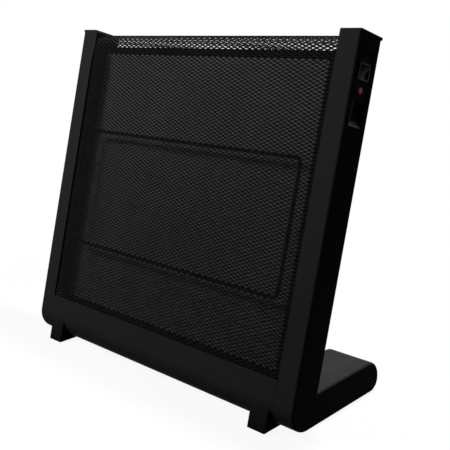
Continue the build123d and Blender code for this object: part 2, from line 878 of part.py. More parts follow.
def save(name, pieces):
    """Write one piece, or a group of like pieces, in its place about the middle of the base."""
    if not isinstance(pieces, list):
        pieces = [pieces]
    placed = [solid for piece in pieces for solid in (to_middle * piece).solids()]
    shape = placed[0] if len(placed) == 1 else Compound(children=placed)
    export_step(shape, f"parts/{name}.step")
    size = shape.bounding_box()
    print(name, len(placed), [round(v, 1) for v in (*size.min, *size.max)])


def main():
    """Make every piece and write it."""
    os.makedirs("parts", exist_ok=True)
    save("side_cover_right", make_side_cover(True))
    save("side_cover_left", on_left(make_side_cover(False)))
    inner_cover = make_inner_cover()
    save("inner_cover_right", inner_cover)
    save("inner_cover_left", on_left(inner_cover))
    save("column_posts", both_sides(make_posts()))
    cap = make_top_cap()
    save("top_cap_right", cap)
    save("top_cap_left", on_left(cap))
    save("front_rail", make_front_rail())
    save("rear_rail", make_rear_rail())
    save("rear_rail_screws", make_rear_screws())
    save("cross_bar", make_cross_bar())
    bracket = make_leg_bracket()
    save("leg_bracket_right", bracket)
    save("leg_bracket_left", on_left(bracket))
    save("bracket_screws", both_sides(make_bracket_screws()))
    base_cover = make_base_cover()
    save("base_cover_right", base_cover)
    save("base_cover_left", on_left(base_cover))
    save("base_screws", both_sides(make_base_screws()))
    save("floor_pads", both_sides(make_floor_pads()))
    foot = make_toe_foot()
    save("toe_foot_right", foot)
    save("toe_foot_left", on_left(foot))
    save("foot_screws", both_sides([make_foot_screw()]))
    save("front_grille", make_front_grille())
    save("rear_grille", make_rear_grille())
    save("grille_brace", make_grille_brace())
    strips = make_guard_strips()
    save("guard_strips_right", strips)
    save("guard_strips_left", [on_left(strip) for strip in strips])
    save("radiant_sheet_front", element_sheet(element_front, radiant_metal, 0))
    save("radiant_sheet_rear", element_sheet(element_rear - radiant_metal, radiant_metal, 0))
    save("mica_board_front", element_sheet(element_front + radiant_metal, mica_thickness, mica_margin))
    rear_mica = element_rear - radiant_metal - mica_thickness
    save("mica_board_rear", element_sheet(rear_mica, mica_thickness, mica_margin))
    save("heating_ribbon", make_heating_ribbon())
    save("element_top_channel", make_level_channel(True))
    save("element_bottom_channel", make_level_channel(False))
    save("element_side_channels", both_sides([make_side_channel()]))
    save("ceramic_spacers", both_sides(make_spacers()))
    save("element_screws", both_sides(make_element_screws()))
    save("thermal_cutout", make_thermal_cutout())
    save("control_plate", make_control_plate())
    save("switch_body", make_switch_body())
    save("switch_rocker", make_rocker())
    save("pilot_lens", make_pilot_lens())
    save("lamp_holder", make_lamp_holder())
    cup = make_grip_cup()
    save("grip_cup_right", cup)
    save("grip_cup_left", on_left(cup))
    save("cord_gland", make_gland())
    save("gland_nut", make_gland_nut())
    save("terminal_block", make_terminal_block())
    save("wiring", make_wiring())
    save("tip_switch_body", make_tip_body())
    save("tip_plunger", make_plunger())
    save("tip_spring", make_plunger_spring())
    save("earth_tab", make_earth_tab())


if __name__ == "__main__":
    main()
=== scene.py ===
"""Dresses the mica panel heater: expanded metal guards, moulded covers, controls and finishes."""

import json
import math

import bmesh
import bpy
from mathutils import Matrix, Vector

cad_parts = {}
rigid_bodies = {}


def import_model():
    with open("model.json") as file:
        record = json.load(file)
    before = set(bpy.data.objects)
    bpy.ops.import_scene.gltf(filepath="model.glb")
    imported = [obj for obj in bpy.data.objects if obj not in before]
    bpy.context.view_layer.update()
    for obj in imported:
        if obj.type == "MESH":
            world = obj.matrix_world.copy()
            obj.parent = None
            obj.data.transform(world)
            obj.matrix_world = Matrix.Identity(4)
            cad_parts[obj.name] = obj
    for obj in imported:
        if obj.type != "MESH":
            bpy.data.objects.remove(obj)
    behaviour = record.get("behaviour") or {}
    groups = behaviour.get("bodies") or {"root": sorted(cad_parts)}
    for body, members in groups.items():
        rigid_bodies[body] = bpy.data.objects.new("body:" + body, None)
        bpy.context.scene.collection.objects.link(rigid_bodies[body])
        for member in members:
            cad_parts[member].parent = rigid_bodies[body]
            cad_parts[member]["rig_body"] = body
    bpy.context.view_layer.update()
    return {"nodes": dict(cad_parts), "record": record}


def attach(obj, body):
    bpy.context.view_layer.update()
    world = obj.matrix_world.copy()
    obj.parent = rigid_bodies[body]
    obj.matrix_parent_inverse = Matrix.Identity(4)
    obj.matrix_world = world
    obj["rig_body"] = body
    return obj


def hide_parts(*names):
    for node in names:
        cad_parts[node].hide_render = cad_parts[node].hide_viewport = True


bl_info = {
    "name": "Mica panel heater",
    "version": (1, 0, 0),
    "blender": (4, 5, 0),
    "location": "View3D > Sidebar > Heater",
    "description": "Guards, covers, controls and finishes of a leaning panel heater",
    "category": "Add Mesh",
}

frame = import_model()

# Lengths are in metres. The panel leans back: its own directions are up the slope and in from the front.
LEAN = math.radians(14.3)
DEPTH = 0.239
SLOPE_UP = Vector((0.0, math.sin(LEAN), math.cos(LEAN)))
SLOPE_IN = Vector((0.0, math.cos(LEAN), -math.sin(LEAN)))

# The guards on the panel: inward from its front face, up its slope, and to each side
GUARD_FRONT = 0.0027
GUARD_SHEET = 0.0008
COLUMN_DEPTH = 0.057
GUARD_FOOT = 0.0735
ARCH_FOOT = 0.5608
ARCH_STEPS = 24
GUARD_HALF_WIDTH = 0.2742
# The share of a strand's width that its row gives up, because the strand stands turned
STRAND_SHARE = 0.84

# Screws: the radius and height of each ring from the top of the head to the end of the shank
SCREW_RINGS = [(0.0, 0.002), (0.0016, 0.00195), (0.0028, 0.0016), (0.0034, 0.001), (0.0036, 0.0003),
               (0.0036, 0.0), (0.002, 0.0), (0.002, -0.006), (0.0, -0.006)]
SCREW_SIDES = 24
SCREW_HEAD_HEIGHT = 0.002
# The cross recess: half length and half width of a bar, its top and floor, and how far it narrows
RECESS_LONG = 0.0019
RECESS_WIDE = 0.0004
RECESS_TOP = 0.0024
RECESS_FLOOR = 0.0008
RECESS_TAPER = 0.35

# Cleaning up the CAD meshes before their edges are eased
MERGE_DISTANCE = 1e-6
FLAT_ANGLE = math.radians(0.6)
EDGE_ANGLE = math.radians(35)
# How far a face of the grip looks outwards and upwards before it counts as the lip, which gets a painted
# highlight
LIP_FACING = 0.3

LAMP_GLOW = (0.075, 0.003, 0.0045)
WHITE = (1.0, 1.0, 1.0)

# The stage: each light's size, its place and the point it aims at, then the floor and the camera
LIGHTS = {
    "key_light": (0.4, (-1.05, -1.0, 1.4), (0.0, 0.0, 0.3)),
    "front_light": (0.15, (0.2, -0.35, 0.85), (0.2, 0.0, 0.45)),
    "rear_light": (0.1, (0.25, 0.38, 1.5), (0.25, 0.05, 0.1)),
}
FLOOR_REACH = 12.0
# How much of the real floor shows in place of plain white, and from where it fades out
SHADOW_SHARE = 0.08
SHADOW_NEAR = 0.4
SHADOW_FAR = 1.0
CAMERA_PLACE = (0.89906, -0.8870, 0.56262)
CAMERA_TURN = (math.radians(75.933), 0.0, math.radians(42.739))
CAMERA_LENS = 60.54
CAMERA_SENSOR = 36.0


def on_panel(inward, up):
    """A point on the object's middle plane, from its place on the leaning panel."""
    return Vector((0.0, -DEPTH / 2, 0.0)) + SLOPE_IN * inward + SLOPE_UP * up


# Settings


def length_setting(name, description, default, low, high):
    """A length that a user can change."""
    return bpy.props.FloatProperty(
        name=name, description=description, default=default, min=low, max=high, unit="LENGTH")


def colour_setting(name, description, default):
    """A colour that a user can change."""
    return bpy.props.FloatVectorProperty(
        name=name, description=description, default=default, subtype="COLOR", size=3, min=0, max=1)


def power_setting(name, description, default):
    """A light's power that a user can change."""
    return bpy.props.FloatProperty(name=name, description=description, default=default, min=0.0, unit="POWER")


class HeaterGuardSettings(bpy.types.PropertyGroup):
    """Sizes of the expanded metal guards."""
    openings_across: bpy.props.IntProperty(
        name="Openings across", description="Diamonds in one row of the guard", default=42, min=4, max=80)
    row_pitch: length_setting(
        "Row pitch", "Distance from one strand to the next up the guard", 0.003, 0.001, 0.02)
    strand_width: length_setting("Strand width", "Width of one strand", 0.002, 0.0003, 0.005)
    strand_thickness: length_setting("Strand thickness", "Thickness of the sheet", 0.0006, 0.0002, 0.003)
    strand_turn: bpy.props.FloatProperty(
        name="Strand turn", description="How far each strand turns out of the sheet",
        default=math.radians(-20), min=math.radians(-80), max=math.radians(80), subtype="ANGLE")
    knuckle: bpy.props.FloatProperty(
        name="Knuckle length", description="Share of a diamond's length along which two strands meet",
        default=0.24, min=0.02, max=0.48, subtype="FACTOR")


class HeaterColourSettings(bpy.types.PropertyGroup):
    """Colours of the finishes."""
    cover: colour_setting("Covers", "Moulded side covers, caps and rails", (0.03, 0.03, 0.0312))
    trim: colour_setting("Trim", "Toe feet, grips and small black mouldings", (0.016, 0.016, 0.0163))
    guard: colour_setting("Guards", "Paint of the expanded metal", (0.022, 0.022, 0.0223))
    radiant: colour_setting(
        "Radiant sheets", "Heat-proof paint of the sheets behind the guards", (0.32, 0.32, 0.323))
    lamp: colour_setting("Pilot lamp", "Lens of the pilot lamp", (0.12, 0.001, 0.001))


class HeaterStageSettings(bpy.types.PropertyGroup):
    """Light levels of the stage."""
    key_power: power_setting("Key light", "Power of the soft light above and to the left", 17.5)
    front_power: power_setting("Front light", "Power of the small soft light above the front", 0.35)
    rear_power: power_setting("Rear light", "Power of the soft light above the rear", 25.0)
    ambient: bpy.props.FloatProperty(
        name="Ambient", description="Light from all round", default=0.01, min=0.0, max=2.0)


# Node building


class Link:
    """A node's output that takes part in sums, differences, products and quotients."""

    def __init__(self, tree, socket):
        self.tree = tree
        self.socket = socket

    def combine(self, operation, other, swapped=False):
        """One Math node on this output and another value."""
        pair = (other, self) if swapped else (self, other)
        maths = self.tree.nodes.new("ShaderNodeMath")
        maths.operation = operation
        for entry, value in zip(maths.inputs, pair):
            feed(self.tree, entry, value)
        return Link(self.tree, maths.outputs[0])

    def __add__(self, other):
        return self.combine("ADD", other)

    def __sub__(self, other):
        return self.combine("SUBTRACT", other)

    def __mul__(self, other):
        return self.combine("MULTIPLY", other)

    def __truediv__(self, other):
        return self.combine("DIVIDE", other)

    def __radd__(self, other):
        return self.combine("ADD", other, True)

    def __rsub__(self, other):
        return self.combine("SUBTRACT", other, True)

    def __rmul__(self, other):
        return self.combine("MULTIPLY", other, True)

    def __rtruediv__(self, other):
        return self.combine("DIVIDE", other, True)


def feed(tree, entry, value):
    """Give an input a link or a plain value."""
    if isinstance(value, Link):
        tree.links.new(value.socket, entry)
    elif hasattr(entry, "default_value"):
        entry.default_value = value


def add_node(tree, kind, settings, inputs, output=0):
    """A node with its settings made first, then its inputs; the answer is one of its outputs."""
    node = tree.nodes.new(kind)
    for key, value in settings.items():
        setattr(node, key, value)
    for key, value in inputs.items():
        feed(tree, node.inputs[key], value)
    return Link(tree, node.outputs[output])


def seen_straight(tree):
    """1 for the camera, a reflection or a view through glass, and 0 for the light that falls on things."""
    rays = tree.nodes.new("ShaderNodeLightPath")
    straight, glossy, through = (Link(tree, rays.outputs[name]) for name in
                                 ("Is Camera Ray", "Is Glossy Ray", "Is Transmission Ray"))
    return straight.combine("MAXIMUM", glossy).combine("MAXIMUM", through)


def opaque(colour):
    """A colour with its alpha, or a link as it is."""
    return colour if isinstance(colour, Link) else tuple(colour) + (1.0,)


class Finish:
    """One material under construction."""

    def __init__(self, name, **sockets):
        self.material = bpy.data.materials.new(name)
        self.material.use_nodes = True
        self.tree = self.material.node_tree
        self.shader = next(n for n in self.tree.nodes if n.type == "BSDF_PRINCIPLED")
        self.place = self.node("ShaderNodeTexCoord", {}, {}, "Object")
        for key, value in sockets.items():
            self.set(key.replace("_", " "), value)

    def node(self, kind, settings, inputs, output=0):
        return add_node(self.tree, kind, settings, inputs, output)

    def set(self, socket, value):
        feed(self.tree, self.shader.inputs[socket], value)

    def stretched(self, x, y, z):
        """The object's coordinates, scaled by axis."""
        return self.node("ShaderNodeMapping", {}, {"Vector": self.place, "Scale": (x, y, z)})

    def noise(self, scale, detail=2.0, place=None):
        """Soft noise from 0 to 1."""
        inputs = {"Vector": place or self.place, "Scale": scale, "Detail": detail}
        return self.node("ShaderNodeTexNoise", {}, inputs)

    def cells(self, scale, feature="F1", output=0, place=None):
        """A cell pattern."""
        inputs = {"Vector": place or self.place, "Scale": scale}
        return self.node("ShaderNodeTexVoronoi", {"feature": feature}, inputs, output)

    def blend(self, amount, low, high):
        """A colour between two colours."""
        mix = self.tree.nodes.new("ShaderNodeMix")
        mix.data_type = "RGBA"
        # Sockets 0, 6 and 7 of a colour mix are its factor and its two colours, and output 2 is the result.
        for entry, value in ((0, amount), (6, opaque(low)), (7, opaque(high))):
            feed(self.tree, mix.inputs[entry], value)
        return Link(self.tree, mix.outputs[2])

    def bump(self, height, distance, strength=1.0):
        """Feed a height from 0 to 1, worth a distance in metres, to the surface's normal."""
        inputs = {"Height": height, "Distance": distance, "Strength": strength}
        self.set("Normal", self.node("ShaderNodeBump", {}, inputs))

    def step(self, value, low, high):
        """0 below low, 1 above high, smooth between."""
        inputs = {"Value": value, "From Min": low, "From Max": high}
        return self.node("ShaderNodeMapRange", {"interpolation_type": "SMOOTHSTEP"}, inputs)


def shade(colour, factor):
    """A colour made lighter or darker."""
    return tuple(min(1.0, part * factor) for part in colour)


# Finishes


def moulded_plastic(name, colour, grain, roughness, specular):
    """Textured moulding: fine spark grain, faint flow marks and a little dust on top."""
    finish = Finish(name, Specular_IOR_Level=specular)
    wide = finish.noise(7.0, 3.0)
    fine = finish.noise(grain, 2.0)
    pits = finish.cells(grain * 0.6)
    normal = finish.node("ShaderNodeNewGeometry", {}, {}, "Normal")
    upward = finish.node("ShaderNodeSeparateXYZ", {}, {"Vector": normal}, "Z")
    dust = finish.step(upward, 0.75, 1.0) * finish.step(finish.noise(38.0, 4.0), 0.35, 0.75)
    mottle = wide * 0.5 + fine * 0.3 + dust * 0.35
    finish.set("Base Color", finish.blend(mottle, shade(colour, 0.78), shade(colour, 1.5)))
    finish.set("Roughness", roughness + (fine - 0.5) * 0.12 + (wide - 0.5) * 0.08)
    finish.bump(fine * 0.6 + pits * 0.4, 0.00012, 0.35)
    return finish.material


def glossy_moulding(name, colour, roughness):
    """Polished moulding with faint finger marks."""
    finish = Finish(name, Specular_IOR_Level=0.02)
    smear = finish.noise(260.0, 4.0, finish.stretched(1.0, 0.5, 1.3))
    finish.set("Base Color", finish.blend(smear, shade(colour, 0.8), shade(colour, 1.25)))
    finish.set("Roughness", roughness + finish.step(smear, 0.45, 0.7) * 0.14)
    finish.bump(finish.noise(900.0, 2.0), 0.00005, 0.2)
    return finish.material


def baked_paint(name, colour, roughness, specular, grain=900.0):
    """Thin baked paint with an orange-peel surface and a few thin spots."""
    finish = Finish(name, Specular_IOR_Level=specular)
    peel = finish.noise(grain, 2.0)
    cloud = finish.noise(16.0, 4.0)
    finish.set("Base Color", finish.blend(cloud, shade(colour, 0.8), shade(colour, 1.22)))
    finish.set("Roughness", roughness + (peel - 0.5) * 0.1 + (cloud - 0.5) * 0.1)
    finish.bump(peel, 0.0001, 0.3)
    return finish.material


def radiant_paint(name, colour):
    """Heat-proof paint on a sheet that has been hot: faint upright streaks and a dry bloom."""
    finish = Finish(name, Specular_IOR_Level=0.004)
    streaks = finish.noise(5.0, 4.0, finish.stretched(14.0, 1.0, 0.7))
    bloom = finish.noise(11.0, 5.0)
    peel = finish.noise(1100.0, 2.0)
    cloud = streaks * 0.5 + bloom * 0.5
    finish.set("Base Color", finish.blend(cloud, shade(colour, 0.78), shade(colour, 1.24)))
    finish.set("Roughness", 0.62 + (bloom - 0.5) * 0.2 + (peel - 0.5) * 0.06)
    finish.bump(peel * 0.3 + bloom * 0.7, 0.0002, 0.3)
    return finish.material


def zinc_plate(name, colour, roughness):
    """Zinc-coated steel with its spangle and handling marks."""
    finish = Finish(name, Metallic=1.0)
    spangle = finish.cells(240.0, "F1", 1)
    tone = finish.node("ShaderNodeSeparateColor", {}, {"Color": spangle})
    scratch = finish.noise(420.0, 3.0, finish.stretched(0.15, 1.0, 1.0))
    mottle = tone * 0.6 + scratch * 0.4
    finish.set("Base Color", finish.blend(mottle, shade(colour, 0.75), shade(colour, 1.15)))
    finish.set("Roughness", roughness + (tone - 0.5) * 0.12 + (scratch - 0.5) * 0.15)
    finish.bump(scratch, 0.00005, 0.25)
    return finish.material


def machined_steel(name, colour):
    """Turned and plated small steel parts."""
    finish = Finish(name, Metallic=1.0)
    turning = finish.noise(1800.0, 2.0, finish.stretched(1.0, 1.0, 0.1))
    stain = finish.noise(140.0, 3.0)
    finish.set("Base Color", finish.blend(stain, shade(colour, 0.7), shade(colour, 1.1)))
    finish.set("Roughness", 0.28 + stain * 0.18 + (turning - 0.5) * 0.1)
    finish.bump(turning, 0.00004, 0.3)
    return finish.material


def pressed_mica(name):
    """Mica board: overlapping flakes from pale gold to brown, with a pearly skin."""
    finish = Finish(name, Specular_IOR_Level=0.6)
    flakes = finish.cells(150.0, "F1", 1)
    tone = finish.node("ShaderNodeSeparateColor", {}, {"Color": flakes})
    edges = finish.cells(150.0, "DISTANCE_TO_EDGE")
    rim = finish.step(edges, 0.0, 0.05)
    finish.set("Base Color", finish.blend(tone * 0.7 + rim * 0.3, (0.16, 0.1, 0.045), (0.5, 0.4, 0.24)))
    finish.set("Roughness", 0.25 + tone * 0.3)
    finish.bump(rim, 0.0001, 0.4)
    return finish.material


def rough_ceramic(name):
    """Brown-fired steatite with a faint speckle."""
    finish = Finish(name, Roughness=0.75, Specular_IOR_Level=0.1)
    speck = finish.step(finish.noise(1300.0, 2.0), 0.62, 0.72)
    finish.set("Base Color", finish.blend(speck, (0.035, 0.022, 0.015), (0.06, 0.045, 0.035)))
    finish.bump(finish.noise(700.0, 3.0), 0.0001, 0.4)
    return finish.material


def woven_sleeve(name):
    """Glass-fibre sleeving over the wires."""
    finish = Finish(name, Roughness=0.85, Specular_IOR_Level=0.2)
    weave = finish.cells(1500.0, "F1", 0, finish.stretched(1.0, 1.0, 0.55))
    finish.set("Base Color", finish.blend(weave, (0.42, 0.4, 0.36), (0.12, 0.11, 0.1)))
    finish.bump(weave, 0.0002, 0.6)
    return finish.material


def soft_rubber(name, colour):
    """Matt rubber with a dusty bloom."""
    finish = Finish(name, Specular_IOR_Level=0.2)
    bloom = finish.noise(120.0, 4.0)
    finish.set("Base Color", finish.blend(bloom, shade(colour, 0.7), shade(colour, 1.8)))
    finish.set("Roughness", 0.75 + bloom * 0.2)
    finish.bump(finish.noise(1500.0, 2.0), 0.0001, 0.4)
    return finish.material


def lamp_lens(name, colour, glow):
    """Red lens with fine moulded ridges and a polished skin."""
    finish = Finish(name, Roughness=0.3, Specular_IOR_Level=0.08, Emission_Strength=1.0)
    ridges = finish.noise(1200.0, 1.0, finish.stretched(0.2, 1.0, 1.0))
    depth = finish.noise(300.0, 2.0)
    finish.set("Base Color", finish.blend(depth, shade(colour, 0.6), shade(colour, 1.4)))
    finish.set("Emission Color", finish.blend(ridges, shade(glow, 0.6), shade(glow, 1.4)))
    finish.bump(ridges, 0.00008, 0.4)
    return finish.material


FINISHES = {}


def make_finishes():
    """Make every finish once, from the colours in the panel."""
    tint = bpy.context.scene.heater_colours
    cover, trim, guard = tuple(tint.cover), tuple(tint.trim), tuple(tint.guard)
    FINISHES.update({
        "cover_plastic": moulded_plastic("cover_plastic", cover, 1900.0, 0.55, 0.004),
        "black_plastic": moulded_plastic("black_plastic", trim, 2400.0, 0.55, 0.004),
        "switch_plastic": glossy_moulding("switch_plastic", (0.006, 0.006, 0.0062), 0.22),
        "lamp_red": lamp_lens("lamp_red", tuple(tint.lamp), LAMP_GLOW),
        # A lighter, glossier copy of the grip moulding, used on the right grip's lip only: a painted
        # highlight
        "worn_lip": moulded_plastic("worn_lip", (0.03, 0.03, 0.0305), 2400.0, 0.35, 0.6),
        "pad_rubber": soft_rubber("pad_rubber", (0.012, 0.012, 0.012)),
        "cover_sheet": baked_paint("cover_sheet", (0.004, 0.004, 0.0041), 0.6, 0.004),
        "guard_paint": baked_paint("guard_paint", guard, 0.55, 0.01, 2200.0),
        "radiant_paint": radiant_paint("radiant_paint", tuple(tint.radiant)),
        "mica": pressed_mica("mica"),
        "ribbon_metal": zinc_plate("ribbon_metal", (0.42, 0.4, 0.38), 0.4),
        "zinc_steel": zinc_plate("zinc_steel", (0.5, 0.5, 0.52), 0.36),
        "screw_steel": machined_steel("screw_steel", (0.55, 0.55, 0.56)),
        "ceramic": rough_ceramic("ceramic"),
        "wire_cover": woven_sleeve("wire_cover"),
        "tab_brass": machined_steel("tab_brass", (0.6, 0.45, 0.2)),
        "dark_channel": baked_paint("dark_channel", (0.005, 0.005, 0.0051), 0.6, 0.004),
        "frame_paint": baked_paint("frame_paint", (0.0022, 0.0022, 0.0022), 0.7, 0.01),
    })


def slot_of(node):
    """The record's material slot of a CAD node."""
    for part in frame["record"]["subparts"]:
        if part["node"] == node:
            return part["material_slot"]
    raise RuntimeError(f"no slot is given for {node}")


def coat_lip(thing, finish):
    """Give the outward and upward facing faces of a CAD node a finish of their own."""
    thing.data.materials.append(FINISHES[finish])
    for face in thing.data.polygons:
        if abs(face.normal.x) > LIP_FACING and face.normal.z > LIP_FACING:
            face.material_index = 1


def coat(thing, finish):
    """Give a mesh one finish all over."""
    thing.data.materials.clear()
    thing.data.materials.append(FINISHES[finish])
    for face in thing.data.polygons:
        face.material_index = 0


def coat_nodes(names):
    """Give CAD nodes the finish of their own slot."""
    for name in names:
        coat(frame["nodes"][name], slot_of(name))


# Mesh helpers


def add_object(name, mesh):
    """A new object at the origin."""
    thing = bpy.data.objects.new(name, mesh)
    bpy.context.scene.collection.objects.link(thing)
    return thing


def settle(thing):
    """Turn an object's modifiers into plain mesh."""
    bpy.context.view_layer.update()
    evaluated = thing.evaluated_get(bpy.context.evaluated_depsgraph_get())
    mesh = bpy.data.meshes.new_from_object(evaluated)
    thing.modifiers.clear()
    old = thing.data
    thing.data = mesh
    bpy.data.meshes.remove(old)
    mesh.name = thing.name
    return thing


def fasten(thing, body, replaced):
    """Hang a finished piece on the body it rides on, and hide the nodes it stands for."""
    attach(thing, body)
    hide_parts(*replaced)


def soften(node, name, width):
    """Make a copy of a CAD node with its sharp edges eased, which stands for it."""
    source = frame["nodes"][node]
    mesh = source.data.copy()
    shape = bmesh.new()
    shape.from_mesh(mesh)
    bmesh.ops.remove_doubles(shape, verts=shape.verts, dist=MERGE_DISTANCE)
    bmesh.ops.dissolve_limit(shape, angle_limit=FLAT_ANGLE, verts=shape.verts, edges=shape.edges)
    for face in shape.faces:
        face.smooth = True
    shape.to_mesh(mesh)
    shape.free()
    thing = add_object(name, mesh)
    ease = thing.modifiers.new("ease", "BEVEL")
    ease.width = width
    ease.segments = 2
    ease.limit_method = "ANGLE"
    ease.angle_limit = EDGE_ANGLE
    ease.harden_normals = True
    ease.use_clamp_overlap = True
    settle(thing)
    slot = slot_of(node)
    coat(thing, slot)
    fasten(thing, source["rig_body"], [node])


# Geometry node trees


def new_tree(name, entries):
    """A geometry tree with named inputs after its geometry."""
    tree = bpy.data.node_groups.new(name, "GeometryNodeTree")
    tree.interface.new_socket("Geometry", in_out="INPUT", socket_type="NodeSocketGeometry")
    for entry, kind in entries:
        tree.interface.new_socket(entry, in_out="INPUT", socket_type=kind)
    tree.interface.new_socket("Geometry", in_out="OUTPUT", socket_type="NodeSocketGeometry")
    start = tree.nodes.new("NodeGroupInput")
    sources = {socket.name: Link(tree, socket) for socket in start.outputs if socket.name}
    return tree, sources


def close_tree(tree, geometry, finish):
    """End a tree in plain mesh with its finish."""
    real = add_node(tree, "GeometryNodeRealizeInstances", {}, {"Geometry": geometry})
    painted = add_node(tree, "GeometryNodeSetMaterial", {},
                       {"Geometry": real, "Material": FINISHES[finish]})
    end = tree.nodes.new("NodeGroupOutput")
    feed(tree, end.inputs[0], painted)


def run_tree(thing, tree, values):
    """Run a tree on an object with its inputs set, and keep the plain mesh."""
    modifier = thing.modifiers.new(tree.name, "NODES")
    modifier.node_group = tree
    for entry in tree.interface.items_tree:
        if entry.in_out == "INPUT" and entry.name in values:
            modifier[entry.identifier] = values[entry.name]
    return settle(thing)


def zigzag_strand(tree, sources, sign):
    """One strand of the guard: flat at its knuckles, and slanting between them."""
    pitch = sources["Width"] / sources["Openings"]
    corners = sources["Openings"] * 4.0 + 1.0
    line = add_node(tree, "GeometryNodeMeshLine", {}, {"Count": corners})
    index = add_node(tree, "GeometryNodeInputIndex", {}, {})
    quarter = index.combine("MODULO", 4.0)
    cell = index.combine("SUBTRACT", quarter) / 4.0
    late = quarter.combine("MODULO", 2.0)
    second = quarter.combine("GREATER_THAN", 1.5)
    along = (cell + second * 0.5 + late * sources["Knuckle"]) * pitch - sources["Width"] * 0.5
    rise = (second - 0.5) * (sources["Row Pitch"] - sources["Strand Width"] * STRAND_SHARE) * sign
    place = add_node(tree, "ShaderNodeCombineXYZ", {}, {"X": along, "Y": rise})
    bent = add_node(tree, "GeometryNodeSetPosition", {}, {"Geometry": line, "Position": place})
    curve = add_node(tree, "GeometryNodeMeshToCurve", {}, {"Mesh": bent})
    level = add_node(tree, "GeometryNodeSetCurveNormal", {"mode": "Z_UP"}, {"Curve": curve})
    turned = add_node(tree, "GeometryNodeSetCurveTilt", {}, {"Curve": level, "Tilt": sources["Turn"]})
    # A triangle in a circle of radius 1 is 1.5 long and the square root of 3 wide.
    wedge = add_node(tree, "GeometryNodeCurvePrimitiveCircle", {}, {"Resolution": 3, "Radius": 1.0})
    wide, thick = sources["Strand Width"] / 1.5, sources["Thickness"] / math.sqrt(3.0)
    stretch = add_node(tree, "ShaderNodeCombineXYZ", {}, {"X": wide, "Y": thick, "Z": 1.0})
    profile = add_node(tree, "GeometryNodeTransform", {}, {"Geometry": wedge, "Scale": stretch})
    ribbon = add_node(tree, "GeometryNodeCurveToMesh", {},
                      {"Curve": turned, "Profile Curve": profile, "Fill Caps": True})
    return add_node(tree, "GeometryNodeGeometryToInstance", {}, {"Geometry": ribbon})


def guard_tree():
    """The expanded metal tree: zigzag strands stepped along the guard's side view."""
    names = ("Openings", "Width", "Row Pitch", "Strand Width", "Thickness", "Turn", "Knuckle")
    tree, sources = new_tree("expanded_metal", [(name, "NodeSocketFloat") for name in names])
    path = add_node(tree, "GeometryNodeMeshToCurve", {}, {"Mesh": sources["Geometry"]})
    steps = tree.nodes.new("GeometryNodeCurveToPoints")
    steps.mode = "LENGTH"
    feed(tree, steps.inputs["Curve"], path)
    feed(tree, steps.inputs["Length"], sources["Row Pitch"])
    tangent = Link(tree, steps.outputs["Tangent"])
    upward = add_node(tree, "FunctionNodeAlignRotationToVector", {"axis": "Y", "pivot_axis": "X"},
                      {"Vector": tangent})
    pair = tree.nodes.new("GeometryNodeJoinGeometry")
    # The last link into a join comes first in its order, so the rising strand goes in last.
    for sign in (-1.0, 1.0):
        tree.links.new(zigzag_strand(tree, sources, sign).socket, pair.inputs[0])
    index = add_node(tree, "GeometryNodeInputIndex", {}, {})
    inputs = {"Points": Link(tree, steps.outputs["Points"]), "Instance": Link(tree, pair.outputs[0]),
              "Pick Instance": True, "Instance Index": index.combine("MODULO", 2.0), "Rotation": upward}
    placed = add_node(tree, "GeometryNodeInstanceOnPoints", {}, inputs)
    close_tree(tree, placed, "guard_paint")
    return tree


def screw_tree():
    """Screws stood on points, each along its point's own direction."""
    tree, sources = new_tree("screws_on_points", [("Screw", "NodeSocketObject")])
    info = add_node(tree, "GeometryNodeObjectInfo", {"transform_space": "ORIGINAL"},
                    {"Object": sources["Screw"]}, "Geometry")
    way = tree.nodes.new("GeometryNodeInputNamedAttribute")
    way.data_type = "FLOAT_VECTOR"
    way.inputs["Name"].default_value = "way"
    turn = add_node(tree, "FunctionNodeAlignRotationToVector", {"axis": "Z"},
                    {"Vector": Link(tree, way.outputs[0])})
    placed = add_node(tree, "GeometryNodeInstanceOnPoints", {},
                      {"Points": sources["Geometry"], "Instance": info, "Rotation": turn})
    close_tree(tree, placed, "screw_steel")
    return tree


# Pieces


def guard_path(points):
    """A mesh line through side-view points, on the centre line of the object."""
    mesh = bpy.data.meshes.new("guard_path")
    corners = [on_panel(inward, up) for inward, up in points]
    mesh.from_pydata(corners, [(k, k + 1) for k in range(len(corners) - 1)], [])
    return mesh


def arch_points(front, rear):
    """The side view of the half-round top of the guard, from front to rear."""
    middle, radius = (front + rear) / 2, (rear - front) / 2
    turns = [math.pi * k / ARCH_STEPS for k in range(ARCH_STEPS + 1)]
    return [(middle - radius * math.cos(turn), ARCH_FOOT + radius * math.sin(turn)) for turn in turns]


def guard_values():
    """The inputs of the guard tree, from the panel."""
    sizes = bpy.context.scene.heater_guard
    return {"Openings": float(sizes.openings_across), "Width": 2 * GUARD_HALF_WIDTH,
            "Row Pitch": sizes.row_pitch, "Strand Width": sizes.strand_width,
            "Thickness": sizes.strand_thickness, "Turn": sizes.strand_turn, "Knuckle": sizes.knuckle}


class HEATER_OT_guards(bpy.types.Operator):
    """Make the front and rear guards of fine expanded metal"""
    bl_idname = "heater.guards"
    bl_label = "Guards"

    def execute(self, context):
        tree = guard_tree()
        front = GUARD_FRONT + GUARD_SHEET / 2
        rear = COLUMN_DEPTH - front
        arched = [(front, GUARD_FOOT)] + arch_points(front, rear)
        flat = [(rear, GUARD_FOOT), (rear, ARCH_FOOT)]
        for name, side, node in (("front_guard_mesh", arched, "front_grille"),
                                 ("rear_guard_mesh", flat, "rear_grille")):
            guard = add_object(name, guard_path(side))
            run_tree(guard, tree, guard_values())
            fasten(guard, "heater", [node])
        coat(frame["nodes"]["grille_brace"], "frame_paint")
        coat_nodes(["guard_strips_right", "guard_strips_left"])
        return {"FINISHED"}


